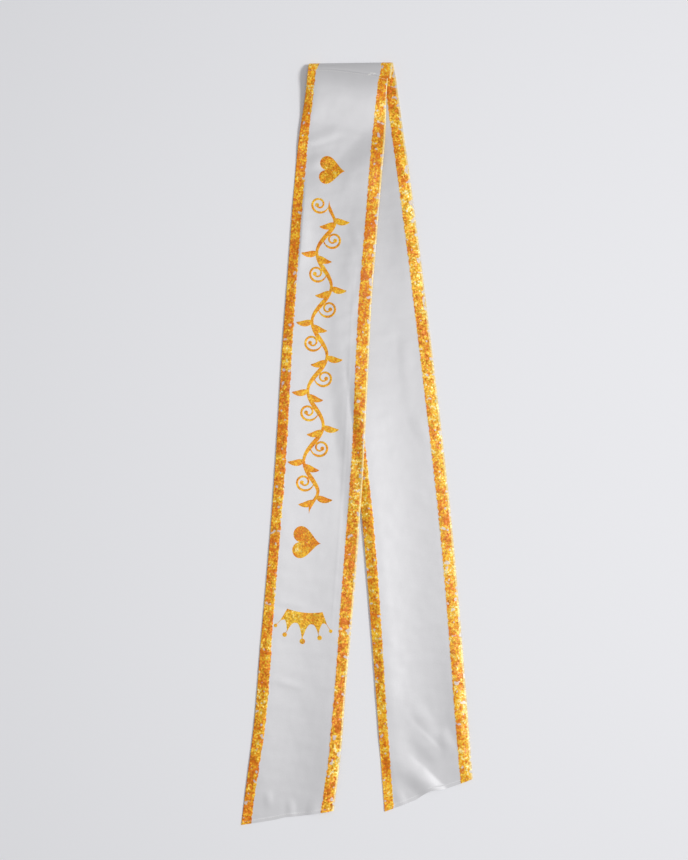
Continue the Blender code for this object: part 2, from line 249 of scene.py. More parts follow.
# Rows of the cloth: their distance on the falls and on the bend, and how many stand on each side of
# a hem's edge.  Columns: how many on a rim, on each border, whose columns reach a little past it, and
# on the plain satin between them.
ROW_STEP, BEND_STEP = 0.0019, 0.0008
HEM_ROWS = 4
RIM_COLUMNS = 5
NARROW_COLUMNS, NARROW_REACH = 17, 0.0155
WIDE_COLUMNS, WIDE_REACH = 19, 0.0175
FIELD_COLUMNS = 46

# Columns of a printed stroke, and grid of a stitch, whose breadth at its tips TIP_TURN sets
STROKE_COLUMNS = 7
STITCH_ROWS, STITCH_COLUMNS = 6, 5
TIP_TURN = 0.92

# How far a film's underside is let into the cloth, and how high its rim stands above it
FILM_SINK = 0.00006
RIM_FILM = 0.00002

# Faces that meet at more than this stand in a sharp edge
SHARP_ANGLE = 50.0

# Glitter: how its hue drifts, how far the flakes differ in hue and lightness, how far they lean, and
# where amber and bright gold stand between deep gold (0) and pale gold (1)
GLITTER_NOISES = (
    # size, reach, detail
    (0.0300, 0.9, 1.0),
    (0.0070, 1.35, 1.0),
    (0.0021, 0.8, 0.0),
)
FLAKE_HUE = 0.50
FLAKE_SHADE = 0.42
FLAKE_TILT = 0.35
AMBER_AT, BRIGHT_AT = 0.36, 0.76
PALE_GOLD = (1.0, 0.80, 0.36, 1.0)

# Tone of the two strips' borders, and their lightness
FRONT_TONE, BACK_TONE = 0.32, 0.42
BORDER_LIGHTNESS = 1.065

# Tone, life and lightness of the motifs' glitter
HEART_GLITTER = (0.26, 0.80, 0.895)
CROWN_GLITTER = (0.52, 0.60, 0.875)
SCROLL_GLITTER = (0.36, 0.60, 0.93)

# Gloss of the plain satin and of the glitter on it, and how much the strips and the motifs mirror
SATIN_METALLIC, GLITTER_METALLIC = 0.18, 0.1
SATIN_ROUGHNESS, GLITTER_ROUGHNESS = 0.45, 0.4
STRIP_SPECULAR, MOTIF_SPECULAR = 0.5, 0.35

# Ramps over the satin: the measure where each starts and stops, and its value there
RIMWARD = (0.0070, 0.0010, 0.0, 1.0)
# Painted shade: the border gold darker towards the wide border
WIDE_SIDE_PAINTED_SHADE = (-0.030, 0.030, 1.0, 0.94)
COVERING = (-0.0003, 0.0004, 0.0, 1.0)
WEARING = (0.705, 0.75, 1.0, 0.25)
# Pale line at the wide rim: partly worn print, partly painted highlight
RIM_WORN_PRINT_AND_HIGHLIGHT = (0.0025, 0.0013, 0.0, 0.8)
# Painted shade: the plain satin darker at the fold, rising to its full colour a little past it
FOLD_PAINTED_SHADE = (0.008, 0.036, 0.85, 1.0)

# How much hue and wear the print gains at its wide rim, how rough its edges are, and the sizes of the
# patches of its edge and its wear
RIM_HUE, RIM_WEAR = 0.10, 0.09
EDGE_ROUGHNESS, EDGE_PATCH = 0.0024, 0.0040
WEAR_PATCH = 0.0075

# The plain satin: its paler patches, and the relief of its threads
PALER, PALE_PATCH = 1.06, 0.0180
THREAD_RELIEF, THREAD_PATCH = 0.00003, 0.0022


def smoothstep(x):
    """0 below 0, 1 above 1, and level at both."""
    x = np.clip(x, 0.0, 1.0)
    return x * x * (3.0 - 2.0 * x)


def swell(x):
    """A soft hump: 1 at x = 0, down to 0 at x = -1 and 1, and level at all three."""
    return np.cos(np.clip(x, -1.0, 1.0) * math.pi / 2) ** 2


def hang(x):
    """A ridge at x = 0 with cloth hanging from it: steepest beside the ridge, level at x = -1 and 1.

    One less the rounded distance from the ridge, squared, and scaled to 1 at the ridge.
    """
    rounding = 0.2
    far = np.sqrt((np.clip(x, -1.0, 1.0) ** 2 + rounding**2) / (1.0 + rounding**2))
    near = rounding / math.sqrt(1.0 + rounding**2)
    return ((1.0 - far) / (1.0 - near)) ** 2


def creased(x):
    """A hump at x = 0 that falls as a swell below it, and above it as a parabola ending in a crease."""
    rounding = 0.02
    far = 1.0 - x**2
    far = (far + np.sqrt(far**2 + rounding)) / (1.0 + math.sqrt(1.0 + rounding))
    return np.where(x < 0, swell(x), far)


def foot_share(x, low_foot, high_foot):
    """x as a share of a ridge's foot on its side: low_foot below 0, and high_foot above it."""
    return np.where(x < 0, x / low_foot, x / high_foot)


def linear(red, green, blue):
    """A colour given in 0 to 255 screen values, as the scene-linear colour that materials take."""
    share = np.array([red, green, blue]) / 255.0
    value = np.where(share <= 0.04045, share / 12.92, ((share + 0.055) / 1.055) ** 2.4)
    return tuple(float(v) for v in value)


class SashCloth(bpy.types.PropertyGroup):
    """The satin: its width, thickness, borders and colour."""

    width: bpy.props.FloatProperty(
        name="Width", description="Width of the satin from edge to edge",
        default=0.1016, unit="LENGTH", precision=4,
    )
    wall: bpy.props.FloatProperty(
        name="Satin thickness", description="Thickness of the plain satin",
        default=0.0005, unit="LENGTH", precision=4,
    )
    film: bpy.props.FloatProperty(
        name="Border thickness", description="What the glitter borders add to the thickness",
        default=0.00022, unit="LENGTH", precision=5,
    )
    hem_step: bpy.props.FloatProperty(
        name="Hem thickness", description="What a turned hem adds to the thickness",
        default=0.0002, unit="LENGTH", precision=5,
    )
    end_hem: bpy.props.FloatProperty(
        name="End hem", description="Width of the turned hem at each end",
        default=0.0040, unit="LENGTH", precision=4,
    )
    lift: bpy.props.FloatProperty(
        name="Layer lift", description="Height of the front strip where it lies on the back strip",
        default=0.0013, unit="LENGTH", precision=4,
    )
    colour: bpy.props.FloatVectorProperty(
        name="Satin colour", description="Colour of the plain satin",
        subtype="COLOR", default=linear(213, 212, 214), min=0.0, max=1.0,
    )


class SashPrint(bpy.types.PropertyGroup):
    """The gold glitter print: flakes, colours and motifs."""

    flake: bpy.props.FloatProperty(
        name="Flake size", description="Distance between glitter flakes",
        default=0.0019, unit="LENGTH", precision=5,
    )
    fine_flake: bpy.props.FloatProperty(
        name="Fine flake size", description="Distance between the finer flakes of the motifs",
        default=0.0013, unit="LENGTH", precision=5,
    )
    film: bpy.props.FloatProperty(
        name="Film thickness", description="Thickness of the printed motifs",
        default=0.00016, unit="LENGTH", precision=5,
    )
    heart_size: bpy.props.FloatProperty(
        name="Heart size", description="Height of a heart from its lobes to its tip",
        default=0.0320, unit="LENGTH", precision=4,
    )
    crown_width: bpy.props.FloatProperty(
        name="Crown width", description="Width of the crown at its band",
        default=0.0405, unit="LENGTH", precision=4,
    )
    scroll_reach: bpy.props.FloatProperty(
        name="Scroll wave", description="How far the scroll's stem waves to each side",
        default=0.0100, unit="LENGTH", precision=4,
    )
    deep: bpy.props.FloatVectorProperty(
        name="Deep gold", description="Colour of the orange flakes",
        subtype="COLOR", default=linear(224, 118, 2), min=0.0, max=1.0,
    )
    amber: bpy.props.FloatVectorProperty(
        name="Amber gold", description="Colour of the amber flakes",
        subtype="COLOR", default=linear(240, 164, 24), min=0.0, max=1.0,
    )
    bright: bpy.props.FloatVectorProperty(
        name="Bright gold", description="Colour of the yellow flakes",
        subtype="COLOR", default=linear(255, 208, 52), min=0.0, max=1.0,
    )


class SashStage(bpy.types.PropertyGroup):
    """The surface, the light and the camera."""

    floor_colour: bpy.props.FloatVectorProperty(
        name="Surface colour", description="Colour of the plain surface",
        subtype="COLOR", default=linear(236, 236, 239), min=0.0, max=1.0,
    )
    key_power: bpy.props.FloatProperty(
        name="Key light", description="Power of the large lamp at the right",
        default=150.0, unit="POWER",
    )
    fill: bpy.props.FloatProperty(
        name="Fill light", description="Strength of the even light all round", default=0.30
    )
    camera_height: bpy.props.FloatProperty(
        name="Camera height", description="Angle of the camera above the surface",
        default=math.radians(85.5), unit="ROTATION",
    )
    camera_distance: bpy.props.FloatProperty(
        name="Camera distance", description="Distance from the camera to the middle of the view",
        default=1.3822, unit="LENGTH",
    )
    lens: bpy.props.FloatProperty(
        name="Lens", description="Focal length of the camera in millimetres", default=50.0
    )


def half_width():
    """Half the satin's width: how far across the rims lie."""
    return bpy.context.scene.sash_cloth.width / 2


def middle_line():
    """(along, sideways, past) samples of the band's middle in the unrolled plane, and its heading.

    sideways runs along the crease and past runs square to it.  The heading is integrated both ways
    from the fold, where all three are zero.
    """
    step = 0.001
    table = np.array(COURSE)
    along = np.arange(table[0, 0], table[-1, 0] + step / 2, step)
    heading = np.radians(np.interp(along, table[:, 0], table[:, 1]))
    sideways = np.concatenate(([0.0], np.cumsum((np.sin(heading[1:]) + np.sin(heading[:-1])) / 2 * step)))
    past = np.concatenate(([0.0], np.cumsum((np.cos(heading[1:]) + np.cos(heading[:-1])) / 2 * step)))
    sideways -= np.interp(0.0, along, sideways)
    past -= np.interp(0.0, along, past)
    return along, sideways, past, heading


ALONG, SIDEWAYS, PAST, HEADING = middle_line()


def bight_point(angle):
    """The fold's outer side: distance in from the apex, and height.

    angle 0 is on the surface, a quarter turn is the apex, and a half turn is the top.
    """
    into = BIGHT_DEPTH * (1.0 - np.sin(angle))
    height = BIGHT_HEIGHT / 2 * (1.0 - np.cos(angle))
    return into, height


def bight_curve():
    """Samples of the fold seen from the side: (arc length from its apex, angle round the ellipse)."""
    angle = np.linspace(0.0, math.pi, BIGHT_SAMPLES)
    into, height = bight_point(angle)
    run = np.concatenate(([0.0], np.cumsum(np.hypot(np.diff(into), np.diff(height)))))
    return run - run[-1] / 2, angle


BIGHT_RUN, BIGHT_ANGLE = bight_curve()
HALF_RUN = BIGHT_RUN[-1]


def plan(sideways, into):
    """Plan position of a point: sideways along the crease, and in from the fold's apex."""
    turn = math.radians(CREASE_TURN)
    x = APEX_X + sideways * math.cos(turn) + into * math.sin(turn)
    y = APEX_Y + sideways * math.sin(turn) - into * math.cos(turn)
    return x, y


def across_back_fall(x, y):
    """How far across the back fall a plan point lies, past its edges too."""
    on_back = ALONG <= -HALF_RUN
    into = BIGHT_DEPTH - PAST[on_back] - HALF_RUN
    line_x, line_y = plan(SIDEWAYS[on_back], into)
    heading = -HEADING[on_back] + math.radians(CREASE_TURN)
    order = np.argsort(line_y)
    middle_x = np.interp(y, line_y[order], line_x[order])
    return (x - middle_x) * np.cos(np.interp(y, line_y[order], heading[order]))


def seam_at(across):
    """Where the shoulder seam lies along the band: a shallow arc, nearest the fold in the middle."""
    half = half_width()
    return SEAM_ALONG + SEAM_SAG * ((across / half) ** 2 - SEAM_LEVEL)


def end_of(fall, across):
    """Distance from the fold to the end hem, which is slanted and draws back where folds take cloth."""
    length = FRONT_LENGTH if fall == "front" else BACK_LENGTH
    end = length - across * math.tan(math.radians(END_SLANT))
    for row_fall, centre, width, depth in HEM_DRAWS:
        if row_fall == fall:
            end = end - depth * swell((across - centre) / (width / 2))
    return end


def border_inset(across, along):
    """How far inside a printed border each place lies: negative on the plain satin between them."""
    half = half_width()
    table = np.array(BORDERS)
    narrow = np.interp(along, table[:, 0], table[:, 1])
    wide = np.interp(along, table[:, 0], table[:, 2])
    return np.maximum(narrow - half - across, across - half + wide)


def thickness(across, along):
    """The cloth's wall: satin, more under the printed borders, and more again in a turned hem."""
    cloth = bpy.context.scene.sash_cloth
    from_end = np.where(along > 0, end_of("front", across) - along, end_of("back", across) + along)
    border = smoothstep(border_inset(across, along) / EDGE_BLEND + 0.5)
    hem = smoothstep((cloth.end_hem - from_end) / EDGE_BLEND + 0.5)
    return cloth.wall + cloth.film * border + cloth.hem_step * hem


def rim_drop(across, thick):
    """How far the printed face rounds down towards the two rims: a quarter of an ellipse."""
    half = half_width()
    into = np.clip((half - np.abs(across)) / RIM_ROUND, 0.0, 1.0)
    return RIM_DEPTH * thick * (1.0 - np.sqrt(1.0 - (1.0 - into) ** 2))


def drawn_in(across, along):
    """How far the borders are pulled sideways, and how far the front strip's curl drops them."""
    half = half_width()
    drawn = np.zeros_like(across)
    dropped = np.zeros_like(across)
    front = along > seam_at(across)
    for side, width, draw, drop, fade in CURLS:
        curl = np.clip((side * across - half + width) / width, 0.0, 1.0) ** 2 * front
        curl = curl * (1.0 - smoothstep((along - fade[0]) / (fade[1] - fade[0])))
        drawn = drawn - side * draw * curl
        dropped = dropped + drop * curl * smoothstep((along - seam_at(across)) / CURL_DROP_LENGTH)
    for side, middle, length, draw in EDGE_DRAWS:
        share = np.clip(side * across / half, 0.0, 1.0) * swell((along - middle) / (length / 2))
        drawn = drawn - side * draw * share
    for side, draw in BEND_DRAWS:
        share = np.clip(side * across / half, 0.0, 1.0) * ~front
        drawn = drawn - side * draw * share * smoothstep(1.0 + along / BEND_DRAW_LENGTH)
    return drawn, dropped


def crumple(across, along):
    """Fine uneven waves of the satin: a sum of sine waves of random length, direction and phase.

    Each wave's height is in step with its length, so that all have the same slope.
    """
    draw = np.random.default_rng(CRUMPLE_SEED)
    low, high = np.log(CRUMPLE_LENGTHS)
    length = np.exp(draw.uniform(low, high, CRUMPLE_WAVES))
    turn = draw.uniform(0, math.pi, CRUMPLE_WAVES)
    phase = draw.uniform(0, 2 * math.pi, CRUMPLE_WAVES)
    height = np.zeros_like(across)
    for wave, direction, start in zip(length, turn, phase):
        run = across * math.cos(direction) + along * math.sin(direction)
        height = height + wave / (2 * math.pi) * np.sin(2 * math.pi * run / wave + start)
    return CRUMPLE_SLOPE * height / math.sqrt(CRUMPLE_WAVES)


def raised(fall, across, along):
    """Height that the rolls, folds and crumple of one fall add.  along is counted from the fold."""
    fine = crumple(across, along if fall == "front" else -along)
    onset = smoothstep((along - CRUMPLE_START) / CRUMPLE_ONSET)
    height = np.maximum(CRUMPLE_LIFT + fine, 0.0) * onset
    for row_fall, crest, narrow_foot, wide_foot, rise, grow, fade in ROLLS:
        if row_fall == fall:
            up = smoothstep((along - grow[0]) / (grow[1] - grow[0]))
            down = 1.0 - smoothstep((along - fade[0]) / (fade[1] - fade[0]))
            ridge = hang(foot_share(across - crest, narrow_foot, wide_foot))
            height = height + rise * ridge * up * down
    for rows, profile in ((FOLDS, swell), (CREASES, creased)):
        for row_fall, middle, crest, length, narrow_foot, wide_foot, rise, turn in rows:
            if row_fall == fall:
                turn = math.radians(turn)
                ahead, beside = along - middle, across - crest
                on_crest = ahead * math.cos(turn) + beside * math.sin(turn)
                off_crest = beside * math.cos(turn) - ahead * math.sin(turn)
                hump = profile(foot_share(off_crest, narrow_foot, wide_foot))
                height = height + rise * swell(on_crest / (length / 2)) * hump
    return height


def lay_band(across, along):
    """Points of the printed face at each (across, along).

    The band's middle follows the course in the unrolled plane.  Past the fold's half turn the plane
    is bent round an ellipse: before it the cloth lies on the surface with its printed face down, and
    after it the cloth comes down softly onto the back fall, then off it onto the surface.  The front
    strip's folds start on the upper half of the bend, at its apex.
    """
    cloth = bpy.context.scene.sash_cloth
    across, along = np.broadcast_arrays(np.asarray(across, float), np.asarray(along, float))
    drawn, dropped = drawn_in(across, along)
    placed = across + drawn
    heading = np.interp(along, ALONG, HEADING)
    sideways = np.interp(along, ALONG, SIDEWAYS) + placed * np.cos(heading)
    past = np.interp(along, ALONG, PAST) - placed * np.sin(heading)
    wall = thickness(across, along)

    angle = np.interp(past, BIGHT_RUN, BIGHT_ANGLE)
    into, height = bight_point(angle)
    front_folds = raised("front", across, np.maximum(along, 0.0))
    height = height + front_folds * smoothstep(2.0 * angle / math.pi - 1.0)

    on_back = past <= -HALF_RUN
    into = np.where(on_back, BIGHT_DEPTH - past - HALF_RUN, into)
    height = np.where(on_back, raised("back", across, -along), height)

    on_front = past >= HALF_RUN
    front_in = BIGHT_DEPTH + past - HALF_RUN
    on_fall = across_back_fall(*plan(sideways, front_in))
    beyond = -cloth.width / 2 - SIDESTEP_MARGIN - on_fall
    under_along = np.interp(BIGHT_DEPTH - HALF_RUN - front_in, PAST, ALONG) + on_fall * np.sin(heading)
    below = raised("back", np.maximum(on_fall, -cloth.width / 2), np.maximum(-under_along, 0.0))
    resting = (cloth.lift + below) * (1.0 - smoothstep(beyond / SIDESTEP_RAMP))
    held_up = 1.0 - smoothstep((front_in - BIGHT_DEPTH) / DESCENT_LENGTH)
    under = resting + (BIGHT_HEIGHT - wall - resting) * held_up + front_folds - dropped
    into = np.where(on_front, front_in, into)
    height = np.where(on_front, under + wall, height)
    return np.stack([*plan(sideways, into), height], axis=-1)


def outward(across, along):
    """Unit normals of the printed face, from small steps along and across it."""
    step = 0.0004
    half = half_width()
    low, high = np.maximum(across - step, -half), np.minimum(across + step, half)
    sidelong = lay_band(high, along) - lay_band(low, along)
    lengthwise = lay_band(across, along + step) - lay_band(across, along - step)
    normal = np.cross(lengthwise, sidelong)
    return normal / np.linalg.norm(normal, axis=-1, keepdims=True)


def closed_wall(name, outer, inner, measure, material, ring=False):
    """A closed wall between two faces, as one mesh object with its cloth measure in "cut".

    outer, inner and measure are arrays of (pieces, rows, columns, ...), with across growing along the
    columns and along growing down the rows.  A ring's last column joins its first.  The rims at the
    first and last rows, and at the first and last columns unless it is a ring, close the wall.
    """
    pieces, rows, cols = outer.shape[:3]
    index = np.arange(pieces * rows * cols).reshape(pieces, rows, cols)
    if ring:
        index = np.concatenate((index, index[:, :, :1]), axis=2)
    under = index + pieces * rows * cols

    def quads(*corners):
        return np.stack(corners, axis=-1).reshape(-1, 4)

    faces = [
        quads(index[:, 1:, :-1], index[:, 1:, 1:], index[:, :-1, 1:], index[:, :-1, :-1]),
        quads(under[:, :-1, :-1], under[:, :-1, 1:], under[:, 1:, 1:], under[:, 1:, :-1]),
        quads(index[:, 0, :-1], index[:, 0, 1:], under[:, 0, 1:], under[:, 0, :-1]),
        quads(index[:, -1, 1:], index[:, -1, :-1], under[:, -1, :-1], under[:, -1, 1:]),
    ]
    if not ring:
        faces += [
            quads(index[:, 1:, 0], index[:, :-1, 0], under[:, :-1, 0], under[:, 1:, 0]),
            quads(index[:, :-1, -1], index[:, 1:, -1], under[:, 1:, -1], under[:, :-1, -1]),
        ]
    faces = np.concatenate(faces)
    points = np.concatenate([outer.reshape(-1, 3), inner.reshape(-1, 3)])
    return mesh_object(name, points, faces, np.concatenate([measure.reshape(-1, 3)] * 2), material)


def mesh_object(name, points, faces, measure, material):
    """A smooth mesh object at the origin, riding on the sash."""
    mesh = bpy.data.meshes.new(name)
    mesh.from_pydata(points, [], faces)
    cut = mesh.attributes.new("cut", "FLOAT_VECTOR", "POINT")
    cut.data.foreach_set("vector", measure.ravel())
    mesh.materials.append(material)
    mesh.shade_smooth()
    mesh.set_sharp_from_angle(angle=math.radians(SHARP_ANGLE))
    made = bpy.data.objects.new(name, mesh)
    bpy.context.scene.collection.objects.link(made)
    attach(made, BODY)
    return made


def cloth_columns():
    """Places across for the cloth's columns, closest together at the rims and the borders' edges."""
    half = half_width()
    rim = RIM_ROUND * (1.0 - np.cos(np.linspace(0.0, math.pi / 2, RIM_COLUMNS)))[:-1]
    narrow = np.linspace(RIM_ROUND, NARROW_REACH, NARROW_COLUMNS)
    wide = np.linspace(RIM_ROUND, WIDE_REACH, WIDE_COLUMNS)
    middle = np.linspace(NARROW_REACH - half, half - WIDE_REACH, FIELD_COLUMNS)[1:-1]
    return np.concatenate((rim - half, narrow - half, middle, half - wide[::-1], half - rim[::-1]))


def fall_rows(fall, start):
    """(columns, rows by columns) of across and along, from start to the slanted end hem.

    start is one along for each column.  The last rows stand closer, at the hem's inner edge.
    """
    hem = bpy.context.scene.sash_cloth.end_hem
    across = cloth_columns()
    length = FRONT_LENGTH if fall == "front" else BACK_LENGTH
    flat = np.linspace(0.0, length - hem - EDGE_BLEND, int(length / ROW_STEP))
    edge = length - hem + np.linspace(-EDGE_BLEND / 2, EDGE_BLEND / 2, HEM_ROWS)
    turned = np.linspace(length - hem + EDGE_BLEND, length, HEM_ROWS)
    share = np.concatenate((flat, edge, turned)) / length
    return across, start + share[:, None] * (end_of(fall, across) - start)


def seam_dip(across, along):
    """How far the cloth dips into the shoulder seam: a narrow bell beside it."""
    return SEAM_DIP * np.exp(-(((along - seam_at(across)) / SEAM_DIP_REACH) ** 2))


def cloth_strip(name, across, along, material):
    """A strip of cloth on the given (across, along) grid, dipping into the shoulder seam."""
    across = np.broadcast_to(across, along.shape)
    thick = thickness(across, along)
    normal = outward(across, along)
    surface = lay_band(across, along)
    drop = seam_dip(across, along) + rim_drop(across, thick)
    printed = surface - normal * drop[..., None]
    plain = surface - normal * thick[..., None]
    plain[..., 2] = np.maximum(plain[..., 2], 0.0)
    measure = np.stack([across, along, border_inset(across, along)], axis=-1)
    return closed_wall(name, printed[None], plain[None], measure[None], material)


def film_on(name, across, along, height, material, ring=False):
    """A thin printed film: its top stands the given height above the cloth's printed face."""
    normal = outward(across, along)
    surface = lay_band(across, along) - normal * seam_dip(across, along)[..., None]
    outer = surface + normal * height[..., None]
    inner = surface - normal * FILM_SINK
    measure = np.stack([across, along, np.zeros_like(across)], axis=-1)
    return closed_wall(name, outer, inner, measure, material, ring)


def ribbon(name, path_across, path_along, half_breadth, height, material):
    """Printed strokes along paths of (strokes, points), domed across, as one object.

    Each point is moved to both sides of its path by half_breadth, square to the path in the cloth's
    measure.  The dome falls with the fourth power of the distance from the path.
    """
    ahead_across = np.gradient(path_across, axis=1)
    ahead_along = np.gradient(path_along, axis=1)
    length = np.hypot(ahead_across, ahead_along)
    side = np.linspace(-1.0, 1.0, STROKE_COLUMNS)
    offset = side * half_breadth[..., None]
    across = path_across[..., None] + offset * (ahead_along / length)[..., None]
    along = path_along[..., None] - offset * (ahead_across / length)[..., None]
    dome = height * (1.0 - side**4) + RIM_FILM
    return film_on(name, across, along, np.broadcast_to(dome, across.shape), material)


def dot_rings(radius, points, rings):
    """(side, down, reach) of rings of points round dots of the given radii.

    reach grows from near 0 at a dot's middle to 1 at its rim, and the rings are circles.
    """
    turn = np.linspace(0.0, 2 * math.pi, points, endpoint=False)[None, None, :]
    reach = np.linspace(0.05, 1.0, rings)[None, :, None]
    radius = np.asarray(radius)[..., None, None]
    return radius * reach * np.sin(turn), -radius * reach * np.cos(turn), reach


def stitches(name, across, along, turn, length, breadth, material):
    """Thread beads on the cloth: half ellipsoids, each a small grid, at (across, along) and turned."""
    u = np.linspace(-1.0, 1.0, STITCH_ROWS)[:, None]
    v = np.linspace(-1.0, 1.0, STITCH_COLUMNS)[None, :]
    lengthwise = np.sin(u * math.pi / 2) * length / 2 + 0 * v
    sidelong = v * np.cos(u * math.pi / 2 * TIP_TURN) * breadth / 2
    cos, sin = np.cos(turn)[:, None, None], np.sin(turn)[:, None, None]
    grid_along = along[:, None, None] + lengthwise * cos - sidelong * sin
    grid_across = across[:, None, None] + lengthwise * sin + sidelong * cos
    height = breadth / 2 * np.sqrt(1.0 - v**2) * np.cos(u * math.pi / 2) + RIM_FILM
    return film_on(name, grid_across, grid_along, np.broadcast_to(height, grid_across.shape), material)


def node(tree, kind, inputs=(), **settings):
    """Adds a shader node, sets its options, and links or fills the inputs that are given."""
    made = tree.nodes.new("ShaderNode" + kind)
    for name, value in settings.items():
        setattr(made, name, value)
    for key, value in dict(inputs).items():
        if isinstance(value, bpy.types.NodeSocket):
            tree.links.new(value, made.inputs[key])
        else:
            made.inputs[key].default_value = value
    return made


def maths(tree, operation, first, second=0.0, third=0.0):
    """The output of one Math node."""
    return node(tree, "Math", {0: first, 1: second, 2: third}, operation=operation).outputs[0]


def noise(tree, measure, size, detail):
    """A soft noise of the given patch size in the cloth's measure, from 0 to 1 and mostly near 0.5."""
    inputs = {"Vector": measure, "Scale": 1 / size, "Detail": detail}
    return node(tree, "TexNoise", inputs, noise_dimensions="2D").outputs["Fac"]


def mapped(tree, value, limits):
    """A straight ramp over a value: limits holds its start, its stop and what it gives at both."""
    return node(tree, "MapRange", dict(enumerate((value, *limits)))).outputs[0]


def scaled(tree, colour, factor):
    """A colour times a factor."""
    return node(tree, "VectorMath", {0: colour, "Scale": factor}, operation="SCALE").outputs[0]


def relief(tree, shader, height):
    """Gives the shader a fine relief of the given height."""
    bump = node(tree, "Bump", {"Height": height, "Distance": 1.0, "Strength": 1.0})
    tree.links.new(bump.outputs["Normal"], shader.inputs["Normal"])


def blend(tree, factor, low, high):
    """A colour between two colours."""
    made = node(tree, "Mix", {"Factor": factor}, data_type="RGBA")
    for socket, value in ((made.inputs[6], low), (made.inputs[7], high)):
        if isinstance(value, bpy.types.NodeSocket):
            tree.links.new(value, socket)
        else:
            socket.default_value = value
    return made.outputs[2]


def new_material(name, colour):
    """A material with only its Principled shader, and that shader."""
    material = bpy.data.materials.new(name)
    material.use_nodes = True
    material.diffuse_color = (*colour, 1.0)
    return material, material.node_tree, material.node_tree.nodes["Principled BSDF"]


def glitter_nodes(tree, measure, flake, tone, life=1.0, lightness=BORDER_LIGHTNESS):
    """Gold glitter in the cloth's measure: (colour, bump height).

    The hue runs from orange (0) over amber and yellow to pale (1).  It drifts about the tone with
    three noises of falling size and with each flake, all scaled by life.  Each flake, a cell of a
    Voronoi pattern, is also lighter or darker and leans its own way, as a slope of height across it.
    """
    gold = bpy.context.scene.sash_print
    flakes = node(tree, "TexVoronoi", {"Vector": measure, "Scale": 1 / flake}, voronoi_dimensions="2D")
    own = node(tree, "SeparateColor", {0: flakes.outputs["Color"]})
    start = maths(tree, "SUBTRACT", tone, life * FLAKE_HUE / 2)
    hue = maths(tree, "MULTIPLY_ADD", own.outputs[2], life * FLAKE_HUE, start)
    for size, reach, detail in GLITTER_NOISES:
        start = maths(tree, "SUBTRACT", hue, life * reach / 2)
        hue = maths(tree, "MULTIPLY_ADD", noise(tree, measure, size, detail), life * reach, start)
    ramp = node(tree, "ValToRGB", {0: hue})
    hues = ramp.color_ramp.elements
    hues[0].position, hues[0].color = 0.0, (*gold.deep, 1.0)
    hues[1].position, hues[1].color = 1.0, PALE_GOLD
    hues.new(AMBER_AT).color = (*gold.amber, 1.0)
    hues.new(BRIGHT_AT).color = (*gold.bright, 1.0)
    shade = maths(tree, "MULTIPLY_ADD", own.outputs[1], FLAKE_SHADE, lightness - FLAKE_SHADE / 2)
    leaf = scaled(tree, ramp.outputs["Color"], shade)
    offset = node(tree, "VectorMath", {0: measure, 1: flakes.outputs["Position"]}, operation="SUBTRACT")
    lean = node(tree, "VectorMath", {0: flakes.outputs["Color"], 1: (0.5, 0.5, 0.5)}, operation="SUBTRACT")
    tilt = node(tree, "VectorMath", {0: offset.outputs[0], 1: lean.outputs[0]}, operation="DOT_PRODUCT")
    return leaf, maths(tree, "MULTIPLY", tilt.outputs["Value"], FLAKE_TILT * life)


def measure_nodes(tree):
    """The cloth's measure as (across, along, 0), then across, along and the border inset."""
    stored = node(tree, "Attribute", attribute_name="cut").outputs["Vector"]
    across, along, inset = node(tree, "SeparateXYZ", {0: stored}).outputs
    flat = node(tree, "CombineXYZ", {0: across, 1: along}).outputs[0]
    return flat, across, along, inset


def glitter(name, tone, life, lightness):
    """Gold glitter film, for the motifs."""
    gold = bpy.context.scene.sash_print
    material, tree, shader = new_material(name, gold.amber)
    measure = measure_nodes(tree)[0]
    colour, height = glitter_nodes(tree, measure, gold.fine_flake, tone, life, lightness)
    tree.links.new(colour, shader.inputs["Base Color"])
    shader.inputs["Metallic"].default_value = GLITTER_METALLIC
    shader.inputs["Roughness"].default_value = GLITTER_ROUGHNESS
    shader.inputs["Specular IOR Level"].default_value = MOTIF_SPECULAR
    relief(tree, shader, height)
    return material


